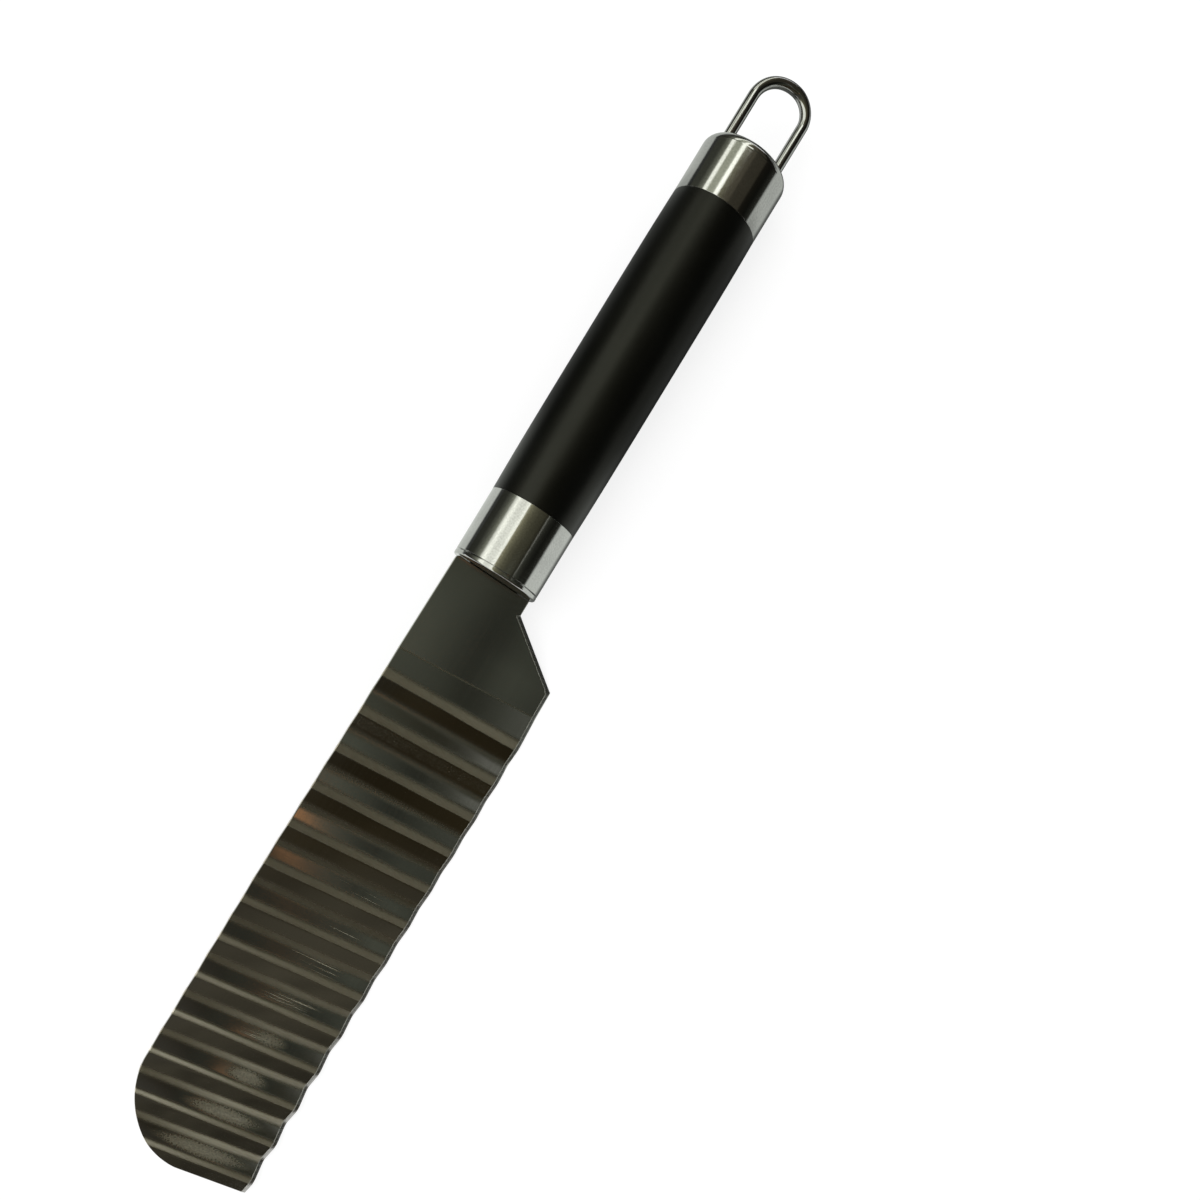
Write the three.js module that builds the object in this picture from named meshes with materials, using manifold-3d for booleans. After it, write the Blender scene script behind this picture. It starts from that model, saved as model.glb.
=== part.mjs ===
// A crinkle cutter: a wavy steel blade, a round black grip between two steel ends and a wire hanging loop.
// Millimetres, +Z up. The knife is drawn along X, with its blade tip at +X and its cutting edge at +Y,
// and is then laid on the table on its handle and its cutting edge, as it comes to rest.

import * as THREE from 'three';
import { mergeVertices } from 'three/addons/utils/BufferGeometryUtils.js';
import Module from 'manifold-3d';

const wasm = await Module();
wasm.setup();

// Handle sizes
const handleRadius = 11; // steel ends, and the grip where it meets them
const gripLength = 80.4;
const gripCrown = 0.22; // how far the grip's middle stands proud of its ends
const ferruleLength = 16.25;
const plateThickness = 1.1; // rim of the front disc
const plateRound = 0.5; // rounded lip of the front disc
const bossDepth = 2; // how far the front disc's boss goes into the ferrule
const capLength = 15.7;
const capRound = 2.5; // rounded corner at the cap's end
const steelWall = 0.8; // drawn ferrule and cap
const boreRadius = 8.7; // bore of the grip
const plugLength = 6;
const seatGap = 0.3; // left between pieces that seat on each other

// Tang and its pins
const tangLength = 62; // behind the front disc's face
const tangWidth = 13;
const tangEase = 0.1; // taken off each face of the tang, so that it enters its slot
const pinRadius = 1.5;
const pinLength = 15.6;
const frontPinDepth = 18; // behind the front disc's face
const rearPinMargin = 12; // from the tang's end

// Hanging loop
const wireRadius = 1.35;
const legSpacing = 14.16; // between the centres of the two legs
const loopReach = 21.85; // from the cap's end to the top of the arch
const archSkew = 1.4; // the top of the arch lies this far towards the cutting edge
const archEase = 0.96; // the arch's height on each side, as a share of its half width there
const footBend = 2.5;
const footLength = 5; // how far each foot reaches inwards from its leg's centre line
const loopTravel = 5; // how far the loop can be pushed in, until its feet meet the core

// Blade sheet and outline
const bladeThickness = 1;
const neckHalfWidth = 10.4; // at the front disc
const neckRound = 0.9; // the neck's corner at the front disc, on its spine side
const notchX = 3.95; // where the slanted heel leaves the neck
const heelX = 15.8;
const heelRelief = 0.4; // the heel corner lies this far inside the cutting edge
const edgeOffset = 27.6; // cutting edge from the handle's axis, at the first waves
const edgeTaper = 0.75; // how far it draws in towards the tip
const taperStart = 57;
const taperEnd = 122;
const spineOffset = 11.63; // spine from the handle's axis, along the waves
const spineFull = 83.5; // where the spine reaches that offset
const tipLength = 22.7; // the round tip along the blade
const tipHeight = 21.2; // and across it
const tipPower = 1.87; // 2 would be an ellipse; less is leaner
const bevelWidth = 1;
const edgeLand = 0.32; // thickness left at the cutting edge
const edgeBreak = 0.15; // on the edges that aren't ground
const bevelRun = 0.6; // over which the bevel starts at the notch

// Waves
const creaseX = 24.2; // where the flat neck ends
const firstCrest = 31.6;
const wavePitch = 10.26;
const crestCount = 13;
const spineDepth = 0.4; // how high the waves stand at the spine
const heelDepth = 0.62; // at the cutting edge by the heel
const middleDepth = 0.8; // at the cutting edge half way
const tipDepth = 1.85; // at the cutting edge by the tip
const deepeningX = 95; // from here they deepen towards the tip
const creaseLean = 0.067; // the crease and the waves lean this much, towards the tip at the spine
const waveLean = 0.022;
const crestRound = 1.3; // half the length of a crest's round
const troughRound = 0.8; // half the length of a trough's round
const endMargin = 3.88; // from the last crest to the end of the blade

// Fineness of the round shapes
const turnSteps = 72;
const smallTurnSteps = 20;
const wireSides = 12;
const wireSteps = 112;
const crownSteps = 14;
const filletSteps = 6;
const tipSteps = 14;
const leanSteps = 6;

// Places along X, from the front disc's face at 0
const plateRear = -plateThickness;
const bossRear = plateRear - bossDepth;
const ferruleFront = plateRear - seatGap;
const ferruleRear = ferruleFront - ferruleLength;
const gripFront = ferruleRear - seatGap;
const gripRear = gripFront - gripLength;
const capFront = gripRear - seatGap;
const capEnd = capFront - capLength;
const capInside = capEnd + steelWall;
const plugRear = capInside + seatGap;
const plugFront = plugRear + plugLength;
const spigotFront = bossRear - seatGap;
const spigotRear = plugFront + seatGap;
const footX = plugFront + footBend; // the bends start at the plug's face, which stops them
const coreRear = footX + wireRadius + loopTravel + seatGap;
const neckStart = seatGap;
const lastCrest = firstCrest + (crestCount - 1) * wavePitch;
const bladeEnd = lastCrest + endMargin;
const tipStart = bladeEnd - tipLength;
const tipCentreY = tipHeight - spineOffset;
const bladeMiddleY = (edgeOffset - spineOffset) / 2;

// Radii that follow from the fits
const steelInside = handleRadius - steelWall;
const spigotRadius = steelInside - seatGap;
const coreRadius = boreRadius - seatGap;
const legHoleRadius = wireRadius + seatGap;
const pinHoleRadius = pinRadius + seatGap;
const legY = legSpacing / 2;

// The pose at rest: the grip's crown and the lowest points of the edge both on the table
const restRoll =
  Math.asin((handleRadius + gripCrown) / Math.hypot(edgeOffset, edgeLand / 2)) -
  Math.atan2(edgeLand / 2, edgeOffset);

const polishedSteel = { color: 0xb4b6b4, roughness: 0.22, metalness: 1 };
const bladeSteel = { color: 0x7c7f78, roughness: 0.36, metalness: 1 };
const plainSteel = { color: 0x9a9b98, roughness: 0.45, metalness: 1 };
const blackGrip = { color: 0x141414, roughness: 0.55, metalness: 0 };
const innerPlastic = { color: 0x35373a, roughness: 0.7, metalness: 0 };

// A closed solid from any closed geometry: vertices merged, slivers dropped, faces turned outwards.
function solidOf(geometry) {
  const bare = geometry.clone();
  bare.deleteAttribute('normal');
  bare.deleteAttribute('uv');
  const merged = mergeVertices(bare, 1e-4);
  const place = merged.getAttribute('position');
  const corners = [];
  let volume = 0;
  for (let i = 0; i < merged.index.count; i += 3) {
    const [a, b, c] = [0, 1, 2].map((k) => merged.index.getX(i + k));
    if (a === b || b === c || c === a) continue;
    corners.push(a, b, c);
    const [p, q, r] = [a, b, c].map((k) => new THREE.Vector3().fromBufferAttribute(place, k));
    volume += p.dot(q.cross(r));
  }
  if (volume < 0) corners.reverse();
  const vertProperties = new Float32Array(place.array);
  const triVerts = new Uint32Array(corners);
  return new wasm.Manifold(new wasm.Mesh({ numProp: 3, vertProperties, triVerts }));
}

// A named piece of the knife with a material of its own.
function piece(name, solid, finish) {
  const { vertProperties, triVerts } = solid.getMesh();
  const geometry = new THREE.BufferGeometry();
  geometry.setAttribute('position', new THREE.BufferAttribute(new Float32Array(vertProperties), 3));
  geometry.setIndex(new THREE.BufferAttribute(new Uint32Array(triVerts), 1));
  geometry.computeVertexNormals();
  const mesh = new THREE.Mesh(geometry, new THREE.MeshStandardMaterial(finish));
  mesh.name = name;
  return mesh;
}

// A solid of revolution about X from points given as [x, radius].
function turned(profile) {
  const points = profile.map(([x, radius]) => new THREE.Vector2(radius, x));
  const geometry = new THREE.LatheGeometry(points, turnSteps);
  geometry.rotateZ(-Math.PI / 2);
  return solidOf(geometry);
}

// Points [x, radius] of a quarter round, from one angle to another about a centre.
function quarter(centreX, centreRadius, size, fromAngle, toAngle) {
  return Array.from({ length: filletSteps + 1 }, (_, k) => {
    const angle = fromAngle + ((toAngle - fromAngle) * k) / filletSteps;
    return [centreX + size * Math.cos(angle), centreRadius + size * Math.sin(angle)];
  });
}

function block(low, high) {
  const size = high.map((value, k) => value - low[k]);
  const geometry = new THREE.BoxGeometry(...size);
  geometry.translate(...low.map((value, k) => value + size[k] / 2));
  return solidOf(geometry);
}

function barAlongX(radius, fromX, toX, y, sides) {
  const geometry = new THREE.CylinderGeometry(radius, radius, toX - fromX, sides);
  geometry.rotateZ(-Math.PI / 2);
  geometry.translate((fromX + toX) / 2, y, 0);
  return solidOf(geometry);
}

function barAlongZ(radius, length, x) {
  const geometry = new THREE.CylinderGeometry(radius, radius, length, smallTurnSteps);
  geometry.rotateX(Math.PI / 2);
  geometry.translate(x, 0, 0);
  return solidOf(geometry);
}

// Value at x on a line through points [x, value], held level past both ends.
function along(line, x) {
  if (x <= line[0][0]) return line[0][1];
  const next = line.findIndex(([lineX]) => lineX >= x);
  if (next < 0) return line[line.length - 1][1];
  const [x0, v0] = line[next - 1];
  const [x1, v1] = line[next];
  return v0 + ((v1 - v0) * (x - x0)) / (x1 - x0);
}

// The waves' form along the blade, from 0 in the troughs to 1 on the crests: straight slopes with rounds.
function waveForm(x) {
  if (x <= creaseX) return 0;
  const onFirstRise = x < firstCrest;
  const phase = onFirstRise ? firstCrest - x : (x - firstCrest) % wavePitch;
  const fromCrest = onFirstRise ? phase : Math.min(phase, wavePitch - phase);
  const firstRise = 1 / (firstCrest - creaseX - crestRound / 2);
  const slope = onFirstRise ? firstRise : 1 / (wavePitch / 2 - (crestRound + troughRound) / 2);
  const fromTrough = wavePitch / 2 - fromCrest;
  if (fromCrest < crestRound) return 1 - (slope * fromCrest ** 2) / (2 * crestRound);
  if (!onFirstRise && fromTrough < troughRound) return (slope * fromTrough ** 2) / (2 * troughRound);
  return 1 - slope * (fromCrest - crestRound / 2);
}

// Height of the sheet's middle above the flat neck; the waves deepen from the spine to the cutting edge.
function waveHeight(x, y) {
  const edgeDepth = along([[taperStart, heelDepth], [deepeningX, middleDepth], [tipStart, tipDepth]], x);
  const share = (y + spineOffset) / (edgeOffset + spineOffset);
  return waveForm(x) * (spineDepth + (edgeDepth - spineDepth) * share);
}

function spineY(x) {
  if (x > tipStart) {
    const run = Math.min(1, (x - tipStart) / tipLength);
    return tipCentreY - tipHeight * (1 - run ** tipPower) ** (1 / tipPower);
  }
  return neckCorner(x) - along([[0, neckHalfWidth], [spineFull, spineOffset]], x);
}

// How far the neck's rounded corner draws its spine side in at x.
function neckCorner(x) {
  const inside = neckRound - (x - neckStart);
  if (inside <= 0) return 0;
  return neckRound - Math.sqrt(neckRound ** 2 - Math.min(inside, neckRound) ** 2);
}

function edgeY(x) {
  const line = [
    [notchX, neckHalfWidth],
    [heelX, edgeOffset - heelRelief],
    [firstCrest, edgeOffset],
    [taperStart, edgeOffset],
    [taperEnd, edgeOffset - edgeTaper],
  ];
  return along(line, x);
}

// How far the ground bevel reaches in from the edge at x; the neck's own edge is only broken.
function bevelInset(x) {
  const flareRise = (edgeOffset - heelRelief - neckHalfWidth) / (heelX - notchX);
  const flareBevel = bevelWidth * Math.hypot(1, flareRise);
  const line = [
    [notchX, edgeBreak],
    [notchX + bevelRun, flareBevel],
    [heelX, flareBevel],
    [heelX + bevelWidth, bevelWidth],
  ];
  return along(line, x);
}

// Where the pressed line of a station meets an outline given as y at x. The lines lean a little.
function onPressedLine(station, outline) {
  const leanLine = [
    [heelX + bevelWidth, 0],
    [creaseX, creaseLean],
    [firstCrest, waveLean],
    [deepeningX, waveLean],
    [bladeEnd, 0],
  ];
  const lean = along(leanLine, station);
  let x = station;
  for (let k = 0; k < leanSteps; k++) {
    x = station - lean * (outline(x) - bladeMiddleY);
  }
  return [x, outline(x)];
}

// One cross-section of the blade: a hexagon with the bevel on its cutting-edge side.
function bladeSection(station) {
  const half = bladeThickness / 2;
  const edgeHalf = along([[notchX, half - edgeBreak], [notchX + bevelRun, edgeLand / 2]], station);
  const spine = onPressedLine(station, spineY);
  const inner = onPressedLine(station, (x) => edgeY(x) - bevelInset(x));
  const edge = onPressedLine(station, edgeY);
  const corners = [
    [spine, -half],
    [inner, -half],
    [edge, -edgeHalf],
    [edge, edgeHalf],
    [inner, half],
    [spine, half],
  ];
  return corners.map(([[x, y], out]) => [x, y, waveHeight(station, y) + out]);
}

// Where the blade needs a cross-section: corners of its outline, rounds of its waves, and its round tip.
function bladeStations() {
  const stops = [notchX, notchX + bevelRun, heelX, heelX + bevelWidth, creaseX, spineFull];
  stops.push(taperStart, taperEnd, deepeningX);
  for (let k = 0; k <= filletSteps; k++) {
    stops.push(neckStart + neckRound * (1 - Math.cos((k / filletSteps) * (Math.PI / 2))));
  }
  for (let k = 0; k < crestCount; k++) {
    const crest = firstCrest + k * wavePitch;
    for (const share of [-1, -0.5, 0, 0.5, 1]) {
      stops.push(crest + share * crestRound, crest + wavePitch / 2 + share * troughRound);
    }
  }
  for (let k = 0; k < tipSteps; k++) {
    stops.push(tipStart + tipLength * Math.sin((k / tipSteps) * (Math.PI / 2)));
  }
  const least = 0.02;
  const inside = stops.filter((x) => x > neckStart + least && x < bladeEnd - least);
  inside.sort((a, b) => a - b);
  const spaced = inside.filter((x, k) => k === 0 || x - inside[k - 1] > least);
  return [neckStart, ...spaced, bladeEnd];
}

// A closed skin through cross-sections that all have the same number of points.
function loft(sections) {
  const count = sections[0].length;
  const last = (sections.length - 1) * count;
  const index = [];
  for (let start = 0; start < last; start += count) {
    for (let j = 0; j < count; j++) {
      const a = start + j;
      const b = start + ((j + 1) % count);
      index.push(a, b, b + count, a, b + count, a + count);
    }
  }
  for (let j = 1; j + 1 < count; j++) {
    index.push(0, j + 1, j, last, last + j, last + j + 1);
  }
  const geometry = new THREE.BufferGeometry();
  geometry.setAttribute('position', new THREE.Float32BufferAttribute(sections.flat(2), 3));
  geometry.setIndex(index);
  return solidOf(geometry);
}

const pinPlaces = [-frontPinDepth, rearPinMargin - tangLength];

function makeBlade() {
  const half = bladeThickness / 2 - tangEase;
  const root = notchX / 2; // the tang is joined to the neck up to here
  const tang = block([-tangLength, -tangWidth / 2, -half], [root, tangWidth / 2, half]);
  let solid = loft(bladeStations().map(bladeSection)).add(tang);
  for (const x of pinPlaces) {
    solid = solid.subtract(barAlongZ(pinHoleRadius, bladeThickness * 2, x));
  }
  return piece('blade', solid, bladeSteel);
}

function makeEndPlate() {
  const profile = [
    [bossRear, 0],
    [bossRear, spigotRadius],
    [plateRear, spigotRadius],
    [plateRear, handleRadius],
    ...quarter(-plateRound, handleRadius - plateRound, plateRound, Math.PI / 2, 0),
    [0, 0],
  ];
  const slotY = tangWidth / 2 + seatGap;
  const slotZ = bladeThickness / 2 + seatGap;
  const slot = block([bossRear - 1, -slotY, -slotZ], [1, slotY, slotZ]);
  return piece('ferrule_end_plate', turned(profile).subtract(slot), polishedSteel);
}

function makeFerrule() {
  const profile = [
    [ferruleRear, steelInside],
    [ferruleRear, handleRadius],
    [ferruleFront, handleRadius],
    [ferruleFront, steelInside],
    [ferruleRear, steelInside],
  ];
  return piece('front_ferrule', turned(profile), polishedSteel);
}

function makeGrip() {
  const crown = Array.from({ length: crownSteps + 1 }, (_, k) => {
    const share = (2 * k) / crownSteps - 1;
    return [gripRear + (gripLength * k) / crownSteps, handleRadius + gripCrown * (1 - share ** 4)];
  });
  const profile = [
    [spigotRear, boreRadius],
    [spigotRear, spigotRadius],
    [gripRear, spigotRadius],
    ...crown,
    [gripFront, spigotRadius],
    [spigotFront, spigotRadius],
    [spigotFront, boreRadius],
    [spigotRear, boreRadius],
  ];
  return piece('grip_sleeve', turned(profile), blackGrip);
}

// Half of the filler round the tang; side is 1 for the upper half and -1 for the lower one.
function makeCoreHalf(name, side) {
  const parting = (side * seatGap) / 2;
  const far = side * boreRadius;
  const half = [Math.min(parting, far), Math.max(parting, far)];
  const round = barAlongX(coreRadius, coreRear, spigotFront, 0, turnSteps);
  const keep = block([coreRear, -boreRadius, half[0]], [spigotFront, boreRadius, half[1]]);
  const pocketY = tangWidth / 2 + seatGap;
  const pocketZ = bladeThickness / 2 - tangEase + seatGap;
  const pocket = block([coreRear - 1, -pocketY, -pocketZ], [spigotFront + 1, pocketY, pocketZ]);
  let solid = round.intersect(keep).subtract(pocket);
  for (const x of pinPlaces) {
    solid = solid.subtract(barAlongZ(pinHoleRadius, boreRadius * 2, x));
  }
  return piece(name, solid, innerPlastic);
}

function makePin(name, x) {
  return piece(name, barAlongZ(pinRadius, pinLength, x), plainSteel);
}

function legHoles(fromX, toX) {
  const hole = (y) => barAlongX(legHoleRadius, fromX, toX, y, smallTurnSteps);
  return hole(legY).add(hole(-legY));
}

function makePlug() {
  const round = capRound - steelWall - seatGap;
  const profile = [
    [plugRear, 0],
    ...quarter(plugRear + round, spigotRadius - round, round, Math.PI, Math.PI / 2),
    [plugFront, spigotRadius],
    [plugFront, 0],
  ];
  const solid = turned(profile).subtract(legHoles(plugRear - 1, plugFront + 1));
  return piece('loop_plug', solid, innerPlastic);
}

function makeCap() {
  const centreX = capEnd + capRound;
  const centreRadius = handleRadius - capRound;
  const profile = [
    [capEnd, 0],
    ...quarter(centreX, centreRadius, capRound, Math.PI, Math.PI / 2),
    [capFront, handleRadius],
    [capFront, steelInside],
    ...quarter(centreX, centreRadius, capRound - steelWall, Math.PI / 2, Math.PI),
    [capInside, 0],
  ];
  const solid = turned(profile).subtract(legHoles(capEnd - 1, plugRear));
  return piece('rear_cap', solid, polishedSteel);
}

// Centre line of the wire: foot, bend, leg, uneven arch, leg, bend, foot.
function loopPath() {
  const archTop = capEnd - loopReach + wireRadius;
  const bendX = footX - footBend;
  const round = 0.5523; // cubic handle length that rounds a quarter turn
  const at = (x, y) => new THREE.Vector3(x, y, 0);
  const path = new THREE.CurvePath();
  const archWidth = (side) => legY - side * archSkew;
  const archBase = (side) => archTop + archEase * archWidth(side);
  const arch = (side) => {
    const width = archWidth(side);
    const corners = [
      at(archBase(side), side * legY),
      at(archBase(side) - round * archEase * width, side * legY),
      at(archTop, archSkew + side * round * width),
      at(archTop, archSkew),
    ];
    return new THREE.CubicBezierCurve3(...(side < 0 ? corners : corners.reverse()));
  };
  const bend = (side) => {
    const corners = [
      at(footX, side * (legY - footBend)),
      at(footX, side * (legY - footBend * (1 - round))),
      at(footX - footBend * (1 - round), side * legY),
      at(bendX, side * legY),
    ];
    return new THREE.CubicBezierCurve3(...(side < 0 ? corners : corners.reverse()));
  };
  const line = (from, to) => new THREE.LineCurve3(from, to);
  path.add(line(at(footX, footLength - legY), at(footX, footBend - legY)));
  path.add(bend(-1));
  path.add(line(at(bendX, -legY), at(archBase(-1), -legY)));
  path.add(arch(-1));
  path.add(arch(1));
  path.add(line(at(archBase(1), legY), at(bendX, legY)));
  path.add(bend(1));
  path.add(line(at(footX, legY - footBend), at(footX, legY - footLength)));
  return path;
}

function makeLoop() {
  const section = new THREE.Shape();
  section.absarc(0, 0, wireRadius, 0, Math.PI * 2);
  const geometry = new THREE.ExtrudeGeometry(section, {
    steps: wireSteps,
    curveSegments: wireSides / 2,
    extrudePath: loopPath(),
    bevelEnabled: false,
  });
  return piece('hanging_loop', solidOf(geometry), polishedSteel);
}

const knife = new THREE.Group();
knife.add(
  makeBlade(),
  makeEndPlate(),
  makeFerrule(),
  makeGrip(),
  makeCoreHalf('core_upper', 1),
  makeCoreHalf('core_lower', -1),
  makePin('tang_pin_front', pinPlaces[0]),
  makePin('tang_pin_rear', pinPlaces[1]),
  makePlug(),
  makeCap(),
  makeLoop(),
);
knife.rotation.x = -restRoll;

// Laid down with the middle of its box over the origin and its lowest point on the table
const crinkleCutter = new THREE.Group();
crinkleCutter.add(knife);
const box = new THREE.Box3().setFromObject(crinkleCutter, true);
const middle = box.getCenter(new THREE.Vector3());
knife.position.set(-middle.x, -middle.y, -box.min.z);

export default crinkleCutter;
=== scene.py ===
import math

import bpy
from mathutils import Matrix, Vector


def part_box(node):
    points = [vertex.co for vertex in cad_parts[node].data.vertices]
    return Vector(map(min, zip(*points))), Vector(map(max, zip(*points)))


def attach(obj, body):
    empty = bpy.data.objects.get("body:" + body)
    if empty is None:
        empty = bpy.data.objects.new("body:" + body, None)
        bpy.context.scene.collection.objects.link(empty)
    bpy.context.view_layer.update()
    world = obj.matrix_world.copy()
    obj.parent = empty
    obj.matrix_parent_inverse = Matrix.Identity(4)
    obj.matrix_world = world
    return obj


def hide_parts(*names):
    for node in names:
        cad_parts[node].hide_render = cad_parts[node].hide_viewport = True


# A crinkle cutter laid on a white table, seen from straight above.
# The knife's sizes are in millimetres: x runs from the front disc's face to the tip,
# y towards the cutting edge, and z out of the blade's upper face.

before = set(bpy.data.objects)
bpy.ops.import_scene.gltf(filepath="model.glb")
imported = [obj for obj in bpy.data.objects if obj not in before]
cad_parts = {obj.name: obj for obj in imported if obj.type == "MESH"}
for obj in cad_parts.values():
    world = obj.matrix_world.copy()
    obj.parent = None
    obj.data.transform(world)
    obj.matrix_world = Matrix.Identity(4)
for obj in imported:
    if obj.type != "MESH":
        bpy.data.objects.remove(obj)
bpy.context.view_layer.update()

MM = 0.001
MICRON = 0.000001

# Handle
HANDLE_RADIUS = 11
GRIP_LENGTH = 80.4
GRIP_CROWN = 0.22
FERRULE_LENGTH = 16.25
PLATE_THICKNESS = 1.1
PLATE_ROUND = 0.5
BOSS_DEPTH = 2
CAP_LENGTH = 15.7
CAP_ROUND = 2.5
STEEL_WALL = 0.8
BORE_RADIUS = 8.7
PLUG_LENGTH = 6
SEAT_GAP = 0.3
SHOWN_GAP = 0.04  # left at the grip's joints and at the neck, which are tight on the real one
TUBE_EDGE = 0.05  # rounded edges of the steel ends
GRIP_EDGE = 0.06

# Tang
TANG_LENGTH = 62
TANG_WIDTH = 13
TANG_EASE = 0.1
PIN_HOLE_RADIUS = 1.8
PIN_PLACES = (-18, -50)

# Loop
WIRE_RADIUS = 1.35
LEG_SPACING = 14.16
LOOP_REACH = 21.85
ARCH_SKEW = 1.4
ARCH_EASE = 0.96
ROUND_HANDLE = 0.5523  # cubic handle length that rounds a quarter turn
FOOT_BEND = 2.5
FOOT_LENGTH = 5
LEG_HOLE_RADIUS = 1.65
HOLE_FLARE = 0.25

# Blade
BLADE_THICKNESS = 1
NECK_HALF_WIDTH = 10.4
NECK_ROUND = 0.9
NOTCH_X = 3.95
HEEL_X = 15.8
HEEL_RELIEF = 0.4
EDGE_OFFSET = 27.6
EDGE_TAPER = 0.75
TAPER_START = 57
TAPER_END = 122
SPINE_OFFSET = 11.63
SPINE_FULL = 83.5
TIP_LENGTH = 22.7
TIP_HEIGHT = 21.2
TIP_POWER = 1.87
BEVEL_WIDTH = 1
EDGE_LAND = 0.32
EDGE_BREAK = 0.15
BEVEL_RUN = 0.6
# width of the strip along the grind's inner edge that carries a painted highlight
HIGHLIGHT_LINE = 0.2
FLAT_FROM = 0.08  # faces are flat from this far inside their rounded edges
CREASE_X = 24.2
CREASE_HALF = 0.12
FIRST_CREST = 31.6
WAVE_PITCH = 10.26
CREST_COUNT = 13
SPINE_DEPTH = 0.4
HEEL_DEPTH = 0.62
MIDDLE_DEPTH = 0.8
TIP_DEPTH = 1.85
DEEPENING_X = 95
CREASE_LEAN = 0.067
WAVE_LEAN = 0.022
CREST_ROUND = 1.3
TROUGH_ROUND = 0.8
END_MARGIN = 3.88
# the third slot holds the painted highlight along the grind's inner edge
FACE, GROUND, EDGE_HIGHLIGHT = range(3)  # the blade's material slots

# Fineness
TURN_STEPS = 256
HOLE_STEPS = 64
CROWN_STEPS = 32
WIRE_SIDES = 40
BEND_STEPS = 24
LEG_STEPS = 40
ARCH_STEPS = 64
TIP_STEPS = 40
ACROSS_STEPS = 10
ROUND_STEPS = 8
ARC_STEPS = 10
LEAN_ROUNDS = 6
LEAST_STEP = 0.005
CUT_PAST = 1  # how far a cutting tool reaches past what it cuts
SHARP_FROM = 32  # degrees between two faces from which their edge is sharp
BLADE_SHARP_FROM = 24
WIRE_SHARP_FROM = 40

# Places along x that follow from the sizes
PLATE_REAR = -PLATE_THICKNESS
BOSS_REAR = PLATE_REAR - BOSS_DEPTH
FERRULE_FRONT = PLATE_REAR - SEAT_GAP
FERRULE_REAR = FERRULE_FRONT - FERRULE_LENGTH
GRIP_FRONT = FERRULE_REAR - SEAT_GAP
GRIP_REAR = GRIP_FRONT - GRIP_LENGTH
CAP_FRONT = GRIP_REAR - SEAT_GAP
CAP_END = CAP_FRONT - CAP_LENGTH
PLUG_FRONT = CAP_END + STEEL_WALL + SEAT_GAP + PLUG_LENGTH
SPIGOT_FRONT = BOSS_REAR - SEAT_GAP
SPIGOT_REAR = PLUG_FRONT + SEAT_GAP
FOOT_X = PLUG_FRONT + FOOT_BEND
NECK_START = SHOWN_GAP
BLADE_END = FIRST_CREST + (CREST_COUNT - 1) * WAVE_PITCH + END_MARGIN
TIP_START = BLADE_END - TIP_LENGTH

# Other sizes that follow
TIP_CENTRE_Y = TIP_HEIGHT - SPINE_OFFSET
BLADE_MIDDLE_Y = (EDGE_OFFSET - SPINE_OFFSET) / 2
STEEL_INSIDE = HANDLE_RADIUS - STEEL_WALL
SPIGOT_RADIUS = STEEL_INSIDE - SEAT_GAP
LEG_Y = LEG_SPACING / 2
HALF = BLADE_THICKNESS / 2

# Marks on the blade; each pair runs from where a mark fades out to where it is full
WAVED_FROM = (FIRST_CREST - 2.5, FIRST_CREST - 1.5)
UNEVENNESS = 0.5
CREASE_LINE = (0.3, 0.05)
CREASE_WEAR = 0.5
BAND_RISE = (-2.3, -0.5)  # past the crest, towards the tip
BAND_FALL = (1.3, 0.8)
BAND_NARROW_X = 150
BAND_NARROW = 0.6
HEEL_BANDS_X = (FIRST_CREST + 4, FIRST_CREST + 12)
TIP_BANDS_X = (90, 115)
EDGE_BANDS_Y = (-5, 22)
TROUGH_BAND = (1.5, 0.3)
TROUGHS_FULL_X = 140
# painted highlight on the troughs by the tip and the edge
TROUGH_HIGHLIGHT_X = (65, 140)
TROUGH_HIGHLIGHT_Y = (-10, 15)
# painted highlight lines on the crests
RIDGE_LINE = (0.75, 0.2)
RIDGE_OFFSET = 0.1
RIDGE_X = (82, 136)
RIDGE_Y = (24, -7)
SLOPE_RISE = (-4.7, -3.9)  # the slope that faces the handle, from its crest
SLOPE_FALL = (-0.9, -1.7)
SLOPE_MIDDLE = 2.6
# rubbed spots and scratches, which are also painted near-white as a highlight
SPOT_Y = BLADE_MIDDLE_Y + 3.5
SPOT_X = (104, 128)
SPOT_GROWTH_X = (130, 148)
SPOT_HALF_LENGTHS = (5.5, 15)
SPOT_HALF_WIDTH = 2
SCRATCH_X = (62, 90)
SCRATCH_Y = (9, 4)  # on either side of the spots' middle
PRESS_MARK_X = FIRST_CREST + WAVE_PITCH + 1.2
PRESS_MARK_WIDTH = 2.8
PRESS_MARK_FADE = 0.3

# Parts of a noise's range that patterns are stretched from
NOISE_MIDDLE = (0.35, 0.65)
NOISE_RANGE = (0.3, 0.7)

# Colours; a pattern mixes the two of a pair
PLAIN_STEEL = ((0.465, 0.46, 0.435, 1), (0.525, 0.52, 0.49, 1))
RUBBED_STEEL = (0.53, 0.495, 0.40, 1)
# painted highlight colour for the troughs by the tip, the crest ridges and the scuffs
PAINTED_HIGHLIGHT_STEEL = (0.95, 0.91, 0.8, 1)
GROUND_STEEL = ((0.34, 0.34, 0.32, 1), (0.50, 0.50, 0.47, 1))
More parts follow.
